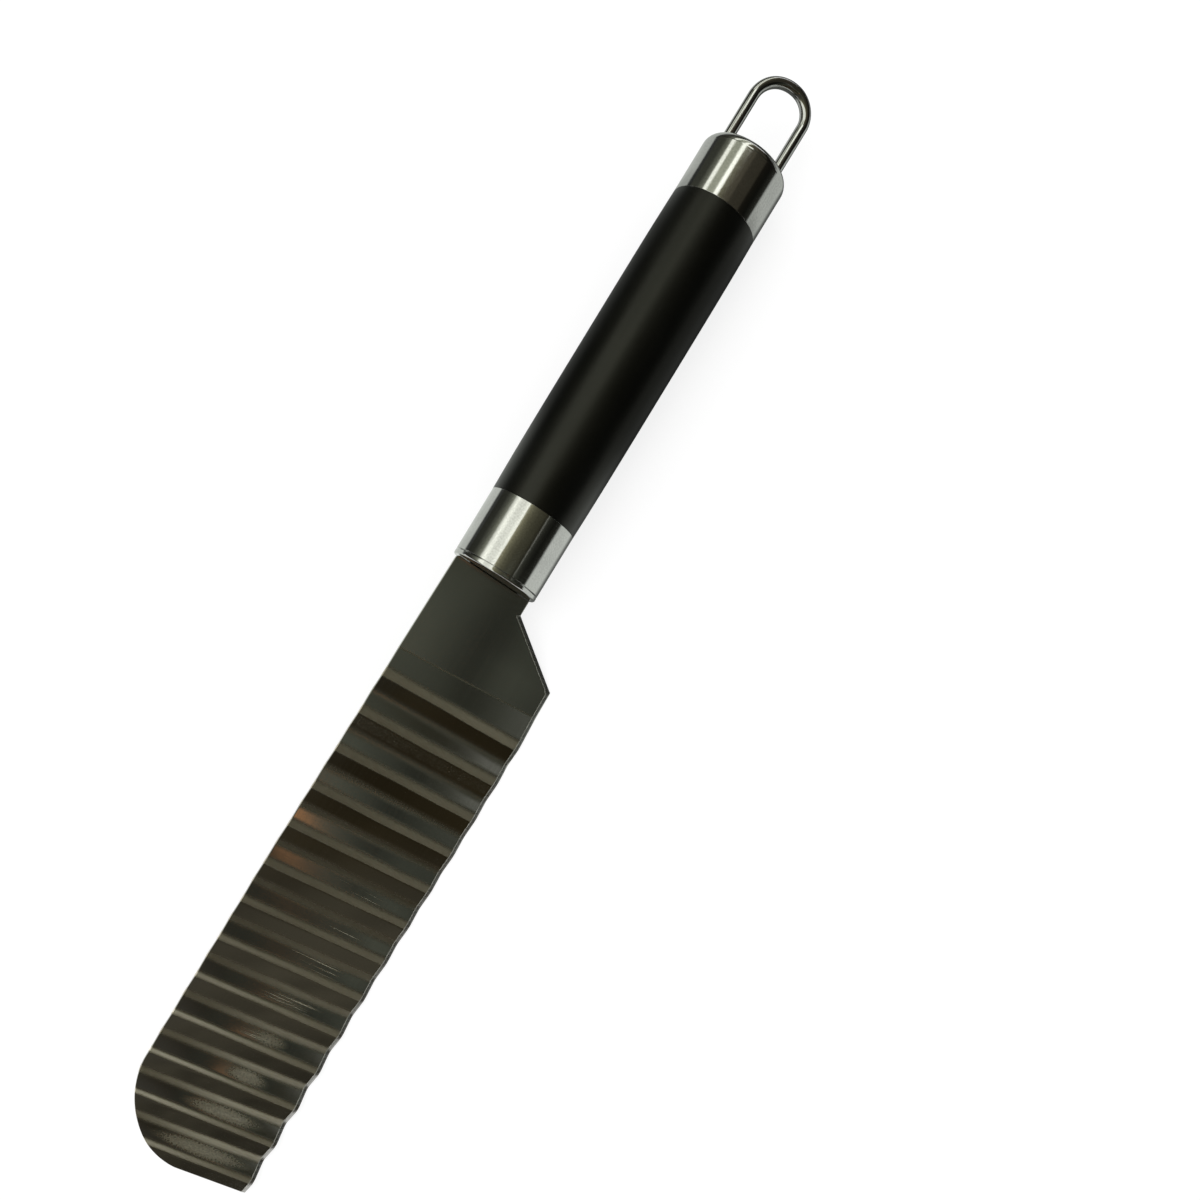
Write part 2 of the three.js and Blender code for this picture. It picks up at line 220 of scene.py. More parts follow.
# painted highlight: near-white colours of the line along the grind's inner edge
EDGE_HIGHLIGHT_STEEL = ((0.65, 0.65, 0.62, 1), (0.95, 0.95, 0.92, 1))
TUBE_STEEL = ((0.465, 0.465, 0.45, 1), (0.555, 0.555, 0.535, 1))
WIRE_STEEL = ((0.44, 0.44, 0.43, 1), (0.52, 0.52, 0.505, 1))
PIN_STEEL = ((0.30, 0.30, 0.295, 1), (0.42, 0.42, 0.41, 1))
GRIP_BLACK = ((0.0007, 0.0007, 0.0006, 1), (0.0014, 0.0014, 0.0012, 1))
GRIP_DUST = (0.06, 0.06, 0.058, 1)
GRIP_GLOSS = (1, 1, 0.86, 1)
CORE_GREY = ((0.032, 0.034, 0.037, 1), (0.045, 0.047, 0.05, 1))

# The knife's pose in the shared frame
REST_ROLL = math.asin((HANDLE_RADIUS + GRIP_CROWN) / math.hypot(EDGE_OFFSET, EDGE_LAND / 2))
REST_ROLL -= math.atan2(EDGE_LAND / 2, EDGE_OFFSET)
ferrule_low, ferrule_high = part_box("front_ferrule")
KNIFE_PLACE = (ferrule_low + ferrule_high) / 2
KNIFE_PLACE.x -= (FERRULE_FRONT + FERRULE_REAR) / 2 * MM
ROLLED = Matrix.Rotation(-REST_ROLL, 4, "X") @ Matrix.Scale(MM, 4)
TO_TABLE = Matrix.Translation(KNIFE_PLACE) @ ROLLED

# Studio, in metres; angles are degrees from overhead towards the cutting edge
WORLD_LIGHT = 0.78
WORLD_SEEN = 1.0
FLOOR_HALF = 6
FLOOR_GREY = (0.32, 0.32, 0.32, 1)
FLOOR_GLOW = 0.755  # added where the floor is seen, so that it is white
LAMP_TILT = -26
LAMP_LENGTH = 1.0
LAMP_WIDTH = 0.6
LAMP_DISTANCE = 0.75
LAMP_RADIANCE = 0.8
TENT_RADIUS = 0.75
TENT_REACH = 3.0
TENT_FROM = -112
TENT_TO = 90
TENT_STEPS = 64
TENT_STRENGTH = 2.0

# Tones of the tent: (angle, level, tint)
WHITE = (0.98, 1, 0.91)
PALE = (0.96, 1, 0.95)
SAGE = (0.93, 1, 0.79)
GREEN = (0.96, 1, 0.8)
OLIVE = (1, 0.96, 0.63)
TAN = (1, 0.9, 0.65)
BROWN = (1, 0.76, 0.37)
FRONT_TONES = (
    (-112, 0.03, GREEN),
    (-72, 0.045, GREEN),
    (-60, 0.13, GREEN),
    (-50, 0.32, GREEN),
    (-45, 1.3, WHITE),
    (-39, 1.85, WHITE),
    (-30, 1.3, WHITE),
    (-18, 1.3, WHITE),
    (-9, 1.85, WHITE),
    (-7, 0.42, OLIVE),
    (-1, 0.24, OLIVE),
    (8, 0.135, OLIVE),
    (21, 0.08, OLIVE),
    (35, 0.06, OLIVE),
    (40, 0.036, OLIVE),
    (43.5, 0.036, OLIVE),
    (45, 0.4, WHITE),
    (46.5, 0.06, GREEN),
    (55, 0.025, GREEN),
    (66, 0.011, GREEN),
    (82, 0.03, GREEN),
    (87, 0.7, PALE),
    (90, 0.8, PALE),
)
NECK_TONES = (
    (24, 0.12, SAGE),
    (36, 0.1, SAGE),
    (38.7, 0.085, SAGE),
    (39.8, 0.025, SAGE),
    (41.2, 0.025, SAGE),
    (42.6, 0.1, SAGE),
    (45.5, 0.09, SAGE),
    (48, 0.06, SAGE),
    (82, 0.03, SAGE),
    (87, 0.7, PALE),
    (90, 0.8, PALE),
)
REAR_TONES = (
    (-112, 0.06, GREEN),
    (-70, 0.065, GREEN),
    (-54, 0.25, GREEN),
    (-51, 1.7, WHITE),
    (-44, 1.7, WHITE),
    (-41, 0.55, GREEN),
    (-25, 0.53, GREEN),
    (-22, 2.0, WHITE),
    (-15, 2.0, WHITE),
    (-12, 0.22, OLIVE),
    (3, 0.11, TAN),
    (14, 0.1, TAN),
    (18, 0.055, TAN),
    (44, 0.05, TAN),
    (49, 0.013, TAN),
    (66, 0.008, GREEN),
    (82, 0.03, GREEN),
    (87, 0.5, PALE),
    (90, 0.63, PALE),
)
LOOP_TONES = (
    (-112, 0.06, GREEN),
    (-70, 0.03, GREEN),
    (-50, 0.2, GREEN),
    (-30, 0.25, GREEN),
    (-25, 2.0, WHITE),
    (1, 2.0, WHITE),
    (5, 0.06, GREEN),
    (40, 0.015, GREEN),
    (90, 0.008, GREEN),
)
BLADE_TONES = (  # metres along the tent instead of degrees
    (0.05, 0.07, TAN),
    (0.12, 0.05, SAGE),
    (0.19, 0.026, BROWN),
    (0.26, 0.03, BROWN),
    (0.35, 0.037, BROWN),
    (0.45, 0.06, TAN),
    (0.62, 0.08, TAN),
    (0.9, 0.06, TAN),
    (1.3, 0.045, TAN),
)
CARD_TONES = (  # metres along the handle
    (-0.2, 0.06, PALE),
    (-0.14, 0.64, PALE),
    (-0.112, 0.64, PALE),
    (-0.1, 0.25, PALE),
    (-0.05, 0.25, PALE),
    (-0.035, 0.82, PALE),
    (0.03, 0.82, PALE),
)

# Zones of the tent; each pair runs from where a tone fades out to where it is full
REAR_TO_FRONT_X = (-0.38, -0.26)
LOOP_FRONT_X = (-0.538, -0.555)
LOOP_REAR_X = (-0.7, -0.63)
DIM_X = (-0.172, -0.215)
DIM_ANGLE = (10, 24)
DIM_SHARE = 0.5
BLADE_X = (-0.1, -0.08)
BLADE_ANGLE = (12, 24)
NECK_TO_BLADE_X = (0.0, 0.08)
PATCH_SCALE = 13.0
PATCH_LEVELS = (0.65, 1.35)
SPINE_GLOW = (0.035, 0.033, 0.028, 1)
SPINE_GLOW_X = (0.1, 0.2)
SPINE_GLOW_ANGLE = (37, 31)
WARM_PATCH = (0.48, 0.22, 0.09, 1)
WARM_X = 0.044
WARM_ANGLE = 34.7
WARM_HALF_LENGTH = 0.03
WARM_HALF_TURN = 1.3

# Grey card under the handle, in metres
CARD_LOW = (-3, -1)
CARD_HIGH = (0.03, 1)
CARD_HEIGHT = 0.0005
CARD_FAN = 3.9  # how fast the tones spread with the distance from the handle
CARD_FAN_X = 0.016
# painted shadow: the card glows darker under the handle, between the two ranges of y below
CARD_SHADOW = 0.2  # level right under the handle
CARD_SHADOW_SPINE_Y = (-0.007, -0.012)
CARD_SHADOW_EDGE_Y = (0.008, 0.017)
CARD_FAR = 0.08  # level far out on the spine's side
CARD_FAR_Y = (-0.12, -0.07)

# Camera
CAMERA_OFFSET = (27.185, 36.492, 267.967)  # from the middle of the front disc's face
CAMERA_TURN = 121.37
CAMERA_LENS = 34.215
CAMERA_SENSOR = 36
CAMERA_SHIFT = (0.0283, 0.1314)
CAMERA_NEAR = 0.01


# Shapes

def along(line, x):
    """Value at x on a line through points (x, value), held level past both ends."""
    if x <= line[0][0]:
        return line[0][1]
    for (x0, v0), (x1, v1) in zip(line, line[1:]):
        if x <= x1:
            return v0 + (v1 - v0) * (x - x0) / (x1 - x0)
    return line[-1][1]


def make_object(name, points, faces):
    """A closed mesh from points in knife millimetres, laid on the table."""
    mesh = bpy.data.meshes.new(name)
    mesh.from_pydata([TO_TABLE @ Vector(p) for p in points], [], faces)
    mesh.validate()
    face_outwards(mesh)
    made = bpy.data.objects.new(name, mesh)
    bpy.context.scene.collection.objects.link(made)
    return made


def face_outwards(mesh):
    """Turns a closed mesh's faces outwards."""
    mesh.calc_loop_triangles()
    volume = 0
    for tri in mesh.loop_triangles:
        a, b, c = (mesh.vertices[k].co for k in tri.vertices)
        volume += a.dot(b.cross(c))
    if volume < 0:
        mesh.flip_normals()


def bar_faces(rows, count):
    """Faces of a bar: quads between its rings of points, then its two ends."""
    faces = []
    for row in range(rows - 1):
        a = row * count
        for k in range(count):
            n = (k + 1) % count
            faces.append((a + k, a + n, a + count + n, a + count + k))
    last = (rows - 1) * count
    return faces + [list(range(count)), list(range(last, last + count))]


def smooth(made, degrees=SHARP_FROM):
    """Shades a piece smooth, apart from edges of at least an angle."""
    made.data.shade_smooth()
    made.data.set_sharp_from_angle(angle=math.radians(degrees))


def turned(name, profile):
    """A closed solid of revolution about x from points (x, radius)."""
    steps = TURN_STEPS
    points = []
    rings = []
    for x, radius in profile:
        count = 1 if radius == 0 else steps
        first = len(points)
        for k in range(count):
            angle = 2 * math.pi * k / steps
            points.append((x, radius * math.cos(angle), radius * math.sin(angle)))
        rings.append((first, count))
    faces = []
    for (a, a_count), (b, b_count) in zip(rings, rings[1:]):
        for k in range(steps):
            n = (k + 1) % steps
            corners = [a + k % a_count, a + n % a_count, b + n % b_count, b + k % b_count]
            faces.append(list(dict.fromkeys(corners)))
    if profile[0][1] > 0:
        faces = close_ring(points, faces, rings)
    return make_object(name, points, faces)


def close_ring(points, faces, rings):
    """Joins the last ring of a tube's profile to its first one, which lies on the same place."""
    first = rings[0][0]
    last = rings[-1][0]
    del points[last:]
    return [[first + k - last if k >= last else k for k in face] for face in faces]


def arc(centre_x, centre_radius, size, from_degrees, to_degrees):
    """Points (x, radius) of a round in a profile."""
    points = []
    for k in range(ARC_STEPS + 1):
        angle = math.radians(from_degrees + (to_degrees - from_degrees) * k / ARC_STEPS)
        points.append((centre_x + size * math.cos(angle), centre_radius + size * math.sin(angle)))
    return points


def cut(made, tools, operation="DIFFERENCE"):
    """Cuts the tools out of a piece, or joins them to it, and removes them."""
    for tool in tools:
        modifier = made.modifiers.new("cut", "BOOLEAN")
        modifier.operation = operation
        modifier.solver = "EXACT"
        modifier.object = tool
    bpy.context.view_layer.update()
    graph = bpy.context.evaluated_depsgraph_get()
    mesh = bpy.data.meshes.new_from_object(made.evaluated_get(graph), depsgraph=graph)
    made.modifiers.clear()
    old = made.data
    made.data = mesh
    bpy.data.meshes.remove(old)
    mesh.name = made.name
    for tool in tools:
        bpy.data.objects.remove(tool)


def box_tool(low, high):
    """A box between two corners."""
    points = []
    for x in (low[0], high[0]):
        for y in (low[1], high[1]):
            points += [(x, y, low[2]), (x, y, high[2])]
    faces = [(0, 1, 3, 2), (4, 6, 7, 5), (0, 4, 5, 1), (2, 3, 7, 6), (0, 2, 6, 4), (1, 5, 7, 3)]
    return make_object("tool", points, faces)


def bar_tool(stations):
    """A round bar along an axis: stations are (centre, radius), all on one line along x or z."""
    start, end = Vector(stations[0][0]), Vector(stations[-1][0])
    lengthwise = abs(end.x - start.x) > abs(end.z - start.z)
    points = []
    for centre, radius in stations:
        for k in range(HOLE_STEPS):
            angle = 2 * math.pi * k / HOLE_STEPS
            u, v = radius * math.cos(angle), radius * math.sin(angle)
            points.append(Vector(centre) + (Vector((0, u, v)) if lengthwise else Vector((u, v, 0))))
    return make_object("tool", points, bar_faces(len(stations), HOLE_STEPS))


def wave_form(x):
    """The waves along the blade, from 0 in the troughs to 1 on the crests."""
    if x <= CREASE_X:
        return 0
    first = x < FIRST_CREST
    phase = FIRST_CREST - x if first else (x - FIRST_CREST) % WAVE_PITCH
    from_crest = phase if first else min(phase, WAVE_PITCH - phase)
    slope = 1 / (WAVE_PITCH / 2 - (CREST_ROUND + TROUGH_ROUND) / 2)
    if first:
        slope = 1 / (FIRST_CREST - CREASE_X - CREST_ROUND / 2)
    from_trough = WAVE_PITCH / 2 - from_crest
    if from_crest < CREST_ROUND:
        return 1 - slope * from_crest ** 2 / (2 * CREST_ROUND)
    if not first and from_trough < TROUGH_ROUND:
        return slope * from_trough ** 2 / (2 * TROUGH_ROUND)
    return 1 - slope * (from_crest - CREST_ROUND / 2)


def wave_height(x, y):
    """Height of the sheet's middle above the flat neck; the waves deepen from spine to edge."""
    line = [(TAPER_START, HEEL_DEPTH), (DEEPENING_X, MIDDLE_DEPTH), (TIP_START, TIP_DEPTH)]
    share = (y + SPINE_OFFSET) / (EDGE_OFFSET + SPINE_OFFSET)
    return wave_form(x) * (SPINE_DEPTH + (along(line, x) - SPINE_DEPTH) * share)


def neck_corner(x):
    """How far the neck's rounded corner lies inside the spine's line."""
    inside = NECK_ROUND - (x - NECK_START)
    if inside <= 0:
        return 0
    return NECK_ROUND - math.sqrt(NECK_ROUND ** 2 - min(inside, NECK_ROUND) ** 2)


def spine_y(x):
    """The blade's outline on the spine's side, with the rounded tip."""
    if x > TIP_START:
        run = min(1, (x - TIP_START) / TIP_LENGTH)
        return TIP_CENTRE_Y - TIP_HEIGHT * (1 - run ** TIP_POWER) ** (1 / TIP_POWER)
    return neck_corner(x) - along([(0, NECK_HALF_WIDTH), (SPINE_FULL, SPINE_OFFSET)], x)


def edge_y(x):
    """The blade's outline on the edge's side: neck, slanted heel and edge."""
    line = [
        (NOTCH_X, NECK_HALF_WIDTH),
        (HEEL_X, EDGE_OFFSET - HEEL_RELIEF),
        (FIRST_CREST, EDGE_OFFSET),
        (TAPER_START, EDGE_OFFSET),
        (TAPER_END, EDGE_OFFSET - EDGE_TAPER),
    ]
    return along(line, x)


def bevel_inset(x):
    """How far the ground bevel reaches in from the edge."""
    flare = (EDGE_OFFSET - HEEL_RELIEF - NECK_HALF_WIDTH) / (HEEL_X - NOTCH_X)
    wide = BEVEL_WIDTH * math.hypot(1, flare)
    line = [(NOTCH_X, EDGE_BREAK), (NOTCH_X + BEVEL_RUN, wide), (HEEL_X, wide)]
    return along(line + [(HEEL_X + BEVEL_WIDTH, BEVEL_WIDTH)], x)


def end_ease(x):
    """How much thinner than the sheet the section is where its ends are rounded."""
    inside = EDGE_BREAK - min(x - NECK_START, BLADE_END - x)
    if inside <= 0:
        return 0
    return EDGE_BREAK - math.sqrt(EDGE_BREAK ** 2 - min(inside, EDGE_BREAK) ** 2)


def lean(station):
    """How far the pressed line of a station leans back for each millimetre towards the edge."""
    line = [
        (HEEL_X + BEVEL_WIDTH, 0),
        (CREASE_X, CREASE_LEAN),
        (FIRST_CREST, WAVE_LEAN),
        (DEEPENING_X, WAVE_LEAN),
        (BLADE_END, 0),
    ]
    return along(line, station)


def line_x(station, y):
    """Where the pressed line of a station lies at a height across the blade."""
    return station - lean(station) * (y - BLADE_MIDDLE_Y)


def on_line(station, outline):
    """Where the pressed line of a station meets an outline given as y at x."""
    x = station
    for _ in range(LEAN_ROUNDS):
        x = line_x(station, outline(x))
    return outline(x)


def blade_section(station):
    """Half a closed section as (y, half height), from the spine over the upper face to the edge."""
    half = HALF - end_ease(station)
    edge_half = along([(NOTCH_X, HALF - EDGE_BREAK), (NOTCH_X + BEVEL_RUN, EDGE_LAND / 2)], station)
    spine = on_line(station, spine_y)
    edge = on_line(station, edge_y)
    inset = edge - on_line(station, lambda x: edge_y(x) - bevel_inset(x))
    # the narrow strip just inside the grind carries the painted edge highlight
    line = min(HIGHLIGHT_LINE, inset / 2)
    inner = edge - inset - line / 2
    points = []
    for degrees in (180, 150, 120, 90):
        angle = math.radians(degrees)
        y = spine + EDGE_BREAK * (1 + math.cos(angle))
        points.append((y, half - EDGE_BREAK * (1 - math.sin(angle))))
    start = spine + EDGE_BREAK + FLAT_FROM
    end = inner - FLAT_FROM
    for k in range(ACROSS_STEPS + 1):
        points.append((start + (end - start) * k / ACROSS_STEPS, half))
    points.append((inner, half))
    share = line / 2 / inset
    points.append((inner + line, half + (edge_half - half) * share))
    points.append((edge, min(edge_half, half)))
    return points


def blade_stations():
    """Places along the blade: corners of the outline, rounded ends, crests, troughs and the tip."""
    stops = [NOTCH_X, NOTCH_X + BEVEL_RUN, HEEL_X, HEEL_X + BEVEL_WIDTH, SPINE_FULL]
    stops += [TAPER_START, TAPER_END, DEEPENING_X]
    stops += [CREASE_X - CREASE_HALF, CREASE_X + CREASE_HALF]
    for k in range(ROUND_STEPS + 1):
        share = 1 - math.cos(k / ROUND_STEPS * math.pi / 2)
        stops.append(NECK_START + NECK_ROUND * share)
        stops.append(NECK_START + EDGE_BREAK * share)
        stops.append(BLADE_END - EDGE_BREAK * share)
    for k in range(CREST_COUNT):
        crest = FIRST_CREST + k * WAVE_PITCH
        for step in range(-ROUND_STEPS, ROUND_STEPS + 1):
            stops.append(crest + CREST_ROUND * step / ROUND_STEPS)
            stops.append(crest + WAVE_PITCH / 2 + TROUGH_ROUND * step / ROUND_STEPS)
    for k in range(TIP_STEPS):
        stops.append(TIP_START + TIP_LENGTH * math.sin(k / TIP_STEPS * math.pi / 2))
    stops = sorted(x for x in stops if NECK_START < x < BLADE_END)
    spaced = [NECK_START]
    for x in stops:
        if x - spaced[-1] > LEAST_STEP:
            spaced.append(x)
    return spaced + [BLADE_END]


def make_blade():
    """The waved sheet, swept from section to section, with the pinned tang."""
    stations = blade_stations()
    points = []
    for x in stations:
        half_section = blade_section(x)
        points += [(line_x(x, y), y, wave_height(x, y) + z) for y, z in half_section]
        points += [(line_x(x, y), y, wave_height(x, y) - z) for y, z in reversed(half_section)]
    count = 2 * len(blade_section(NOTCH_X))
    kinds = []
    # the strip next to the grind gets the painted edge highlight
    highlight_strip = count // 2 - 3
    for x in stations[:-1]:
        for k in range(count):
            strip = min(k, count - 2 - k)
            kind = GROUND if strip > highlight_strip else EDGE_HIGHLIGHT if strip == highlight_strip else FACE
            kinds.append(kind if x >= NOTCH_X else FACE)
    kinds += [FACE, FACE]
    made = make_object("wavy_blade", points, bar_faces(len(stations), count))
    made.data.polygons.foreach_set("material_index", kinds)
    tang_half = HALF - TANG_EASE
    tang_y = TANG_WIDTH / 2
    tang = box_tool((-TANG_LENGTH, -tang_y, -tang_half), (NOTCH_X / 2, tang_y, tang_half))
    for material in (blade_steel(), ground_steel(), painted_edge_highlight()):
        made.data.materials.append(material)
    tang.data.materials.append(made.data.materials[FACE])
    cut(made, [tang], "UNION")
    reach = HALF + CUT_PAST
    holes = []
    for x in PIN_PLACES:
        holes.append(bar_tool([((x, 0, -reach), PIN_HOLE_RADIUS), ((x, 0, reach), PIN_HOLE_RADIUS)]))
    cut(made, holes)
    smooth(made, BLADE_SHARP_FROM)
    return made


def make_plate():
    """The front disc with its rounded lip, its boss and the tang's slot."""
    profile = [
        (BOSS_REAR, 0),
        (BOSS_REAR, SPIGOT_RADIUS),
        (PLATE_REAR, SPIGOT_RADIUS),
        *arc(PLATE_REAR + TUBE_EDGE, HANDLE_RADIUS - TUBE_EDGE, TUBE_EDGE, 180, 90),
        *arc(-PLATE_ROUND, HANDLE_RADIUS - PLATE_ROUND, PLATE_ROUND, 90, 0),
        (0, HANDLE_RADIUS - PLATE_ROUND - FLAT_FROM),
        (0, 0),
    ]
    made = turned("end_disc", profile)
    slot_y = TANG_WIDTH / 2 + SEAT_GAP
    slot_z = HALF + SEAT_GAP
    cut(made, [box_tool((BOSS_REAR - CUT_PAST, -slot_y, -slot_z), (CUT_PAST, slot_y, slot_z))])
    smooth(made)
    return made


def make_ferrule():
    """The steel tube at the blade end of the grip."""
    outer = HANDLE_RADIUS - TUBE_EDGE
    profile = [
        (FERRULE_REAR, STEEL_INSIDE),
        *arc(FERRULE_REAR + TUBE_EDGE, outer, TUBE_EDGE, 180, 90),
        (FERRULE_REAR + TUBE_EDGE + FLAT_FROM, HANDLE_RADIUS),
        (FERRULE_FRONT - TUBE_EDGE - FLAT_FROM, HANDLE_RADIUS),
        *arc(FERRULE_FRONT - TUBE_EDGE, outer, TUBE_EDGE, 90, 0),
        (FERRULE_FRONT, STEEL_INSIDE),
        (FERRULE_REAR, STEEL_INSIDE),
    ]
    made = turned("ferrule_tube", profile)
    smooth(made)
    return made


def make_grip():
    """The grip with its spigots, its shoulders brought close to the steel ends."""
    reach = SEAT_GAP - SHOWN_GAP
    rear = GRIP_REAR - reach
    front = GRIP_FRONT + reach
    outer = HANDLE_RADIUS - GRIP_EDGE
    crown = []
    for k in range(1, CROWN_STEPS):
        share = 2 * k / CROWN_STEPS - 1
        x = rear + (front - rear) * k / CROWN_STEPS
        crown.append((x, HANDLE_RADIUS + GRIP_CROWN * (1 - share ** 4)))
    profile = [
        (SPIGOT_REAR, BORE_RADIUS),
        (SPIGOT_REAR, SPIGOT_RADIUS),
        (rear, SPIGOT_RADIUS),
        *arc(rear + GRIP_EDGE, outer, GRIP_EDGE, 180, 90),
        *crown,
        *arc(front - GRIP_EDGE, outer, GRIP_EDGE, 90, 0),
        (front, SPIGOT_RADIUS),
        (SPIGOT_FRONT, SPIGOT_RADIUS),
        (SPIGOT_FRONT, BORE_RADIUS),
        (SPIGOT_REAR, BORE_RADIUS),
    ]
    made = turned("grip_shell", profile)
    smooth(made)
    return made


def make_cap():
    """The steel cup at the rear end, with two flared holes for the loop's legs."""
    centre_x = CAP_END + CAP_ROUND
    centre_radius = HANDLE_RADIUS - CAP_ROUND
    profile = [
        (CAP_END, 0),
        (CAP_END, centre_radius - FLAT_FROM),
        *arc(centre_x, centre_radius, CAP_ROUND, 180, 90),
        (centre_x + FLAT_FROM, HANDLE_RADIUS),
        (CAP_FRONT - TUBE_EDGE - FLAT_FROM, HANDLE_RADIUS),
        *arc(CAP_FRONT - TUBE_EDGE, HANDLE_RADIUS - TUBE_EDGE, TUBE_EDGE, 90, 0),
        (CAP_FRONT, STEEL_INSIDE),
        *arc(centre_x, centre_radius, CAP_ROUND - STEEL_WALL, 90, 180),
        (CAP_END + STEEL_WALL, 0),
    ]
    made = turned("cap_shell", profile)
    tools = []
    for y in (-LEG_Y, LEG_Y):
        tools.append(bar_tool([
            ((CAP_END - CUT_PAST, y, 0), LEG_HOLE_RADIUS + HOLE_FLARE + CUT_PAST),
            ((CAP_END + HOLE_FLARE, y, 0), LEG_HOLE_RADIUS),
            ((CAP_END + STEEL_WALL + CUT_PAST, y, 0), LEG_HOLE_RADIUS),
        ]))
    cut(made, tools)
    smooth(made)
    return made


def bezier(a, b, c, d, steps):
    """Points of a cubic curve in the blade's plane, without its last one."""
    points = []
    for k in range(steps):
        t = k / steps
        u = 1 - t
        weights = (u ** 3, 3 * u * u * t, 3 * u * t * t, t ** 3)
        points.append(tuple(sum(w * p[i] for w, p in zip(weights, (a, b, c, d))) for i in (0, 1)))
    return points


def loop_path():
    """Centre line of the wire: foot, bend, leg, uneven arch, leg, bend, foot."""
    arch_top = CAP_END - LOOP_REACH + WIRE_RADIUS
    bend_x = FOOT_X - FOOT_BEND
    near = FOOT_BEND * (1 - ROUND_HANDLE)

    def half(side):
        width = LEG_Y - side * ARCH_SKEW
        arch_base = arch_top + ARCH_EASE * width
        y = side * LEG_Y
        foot_y = y - side * FOOT_BEND
        foot = [(FOOT_X, y - side * FOOT_LENGTH)]
        knee = (FOOT_X, y - side * near), (FOOT_X - near, y)
        bend = bezier((FOOT_X, foot_y), *knee, (bend_x, y), BEND_STEPS)
        leg = [(bend_x + (arch_base - bend_x) * k / LEG_STEPS, y) for k in range(LEG_STEPS)]
        lift = arch_base - ROUND_HANDLE * ARCH_EASE * width
        swing = ARCH_SKEW + side * ROUND_HANDLE * width
        arch = bezier((arch_base, y), (lift, y), (arch_top, swing), (arch_top, ARCH_SKEW), ARCH_STEPS)
        return foot + bend + leg + arch

    return half(-1) + [(arch_top, ARCH_SKEW)] + half(1)[::-1]


def make_loop():
    """A round wire swept along the loop's path."""
    path = loop_path()
    points = []
    for k, (x, y) in enumerate(path):
        x0, y0 = path[max(k - 1, 0)]
        x1, y1 = path[min(k + 1, len(path) - 1)]
        length = math.hypot(x1 - x0, y1 - y0)
        side = (-(y1 - y0) / length, (x1 - x0) / length)
        for step in range(WIRE_SIDES):
            angle = 2 * math.pi * step / WIRE_SIDES
            out = WIRE_RADIUS * math.cos(angle)
            points.append((x + side[0] * out, y + side[1] * out, WIRE_RADIUS * math.sin(angle)))
    made = make_object("wire_loop", points, bar_faces(len(path), WIRE_SIDES))
    smooth(made, WIRE_SHARP_FROM)
    return made


# Materials

def add(tree, kind, inputs=None, **settings):
    """A node with its settings, and its inputs set to values or linked to sockets."""
    made = tree.nodes.new(kind)
    for key, value in settings.items():
        setattr(made, key, value)
    for key, value in (inputs or {}).items():
        put(tree, made.inputs[key], value)
    return made


def put(tree, socket, value):
    if isinstance(value, bpy.types.NodeSocket):
        tree.links.new(value, socket)
    else:
        socket.default_value = value


def calc(tree, operation, *values):
    return add(tree, "ShaderNodeMath", dict(enumerate(values)), operation=operation).outputs[0]


def product(tree, first, *others):
    for value in others:
        first = calc(tree, "MULTIPLY", first, value)
    return first


def largest(tree, first, *others):
    for value in others:
        first = calc(tree, "MAXIMUM", first, value)
    return first


def square_sum(tree, a, b):
    return calc(tree, "MULTIPLY_ADD", a, a, calc(tree, "MULTIPLY", b, b))


def map_range(tree, kind, value, low, high, out_low, out_high):
    inputs = {"Value": value, "From Min": low, "From Max": high, "To Min": out_low, "To Max": out_high}
    return add(tree, "ShaderNodeMapRange", inputs, interpolation_type=kind).outputs["Result"]


def ramp(tree, value, low, high, out_low=0.0, out_high=1.0):
    """A smooth step of value from low to high."""
    return map_range(tree, "SMOOTHSTEP", value, low, high, out_low, out_high)


def line_map(tree, value, low, high, out_low, out_high):
    """A straight run of value from low to high, held level past both ends."""
    return map_range(tree, "LINEAR", value, low, high, out_low, out_high)


def mix_colour(tree, share, a, b):
    made = add(tree, "ShaderNodeMix", data_type="RGBA")
    put(tree, made.inputs[0], share)
    put(tree, made.inputs[6], a)
    put(tree, made.inputs[7], b)
    return made.outputs[2]


def scaled(tree, colour, level):
    return add(tree, "ShaderNodeVectorMath", {0: colour, "Scale": level}, operation="SCALE").outputs[0]


def start_material(name):
    """A new material, its node tree, its shader, and knife coordinates in millimetres."""
    material = bpy.data.materials.new(name)
    material.use_nodes = True
    tree = material.node_tree
    shader = tree.nodes["Principled BSDF"]
    place = add(tree, "ShaderNodeTexCoord").outputs["Object"]
    inputs = {
        "Vector": place,
        "Location": KNIFE_PLACE,
        "Rotation": (-REST_ROLL, 0, 0),
        "Scale": (MM, MM, MM),
    }
    knife = add(tree, "ShaderNodeMapping", inputs, vector_type="TEXTURE").outputs[0]
    return material, tree, shader, knife


def noise(tree, place, stretch, detail=2.0, roughness=0.5):
    """Noise of knife coordinates; stretch gives its turns a millimetre along each axis."""
    factors = {0: place, 1: stretch}
    stretched = add(tree, "ShaderNodeVectorMath", factors, operation="MULTIPLY").outputs[0]
    inputs = {"Vector": stretched, "Scale": 1.0, "Detail": detail, "Roughness": roughness}
    return add(tree, "ShaderNodeTexNoise", inputs).outputs[0]


def specks(tree, place, cells, size, empty):
    """Lone round specks: cells a millimetre, a fading size in cells, and the share left empty."""
    found = add(tree, "ShaderNodeTexVoronoi", {"Vector": place, "Scale": cells}).outputs
    lone = add(tree, "ShaderNodeSeparateColor", {0: found["Color"]}).outputs[0]
    return product(tree, ramp(tree, found["Distance"], *size), ramp(tree, lone, empty, empty + 0.01))


def bump(tree, shader, height, microns):
    inputs = {"Height": height, "Distance": microns * MICRON, "Strength": 1.0}
    put(tree, shader.inputs["Normal"], add(tree, "ShaderNodeBump", inputs).outputs[0])


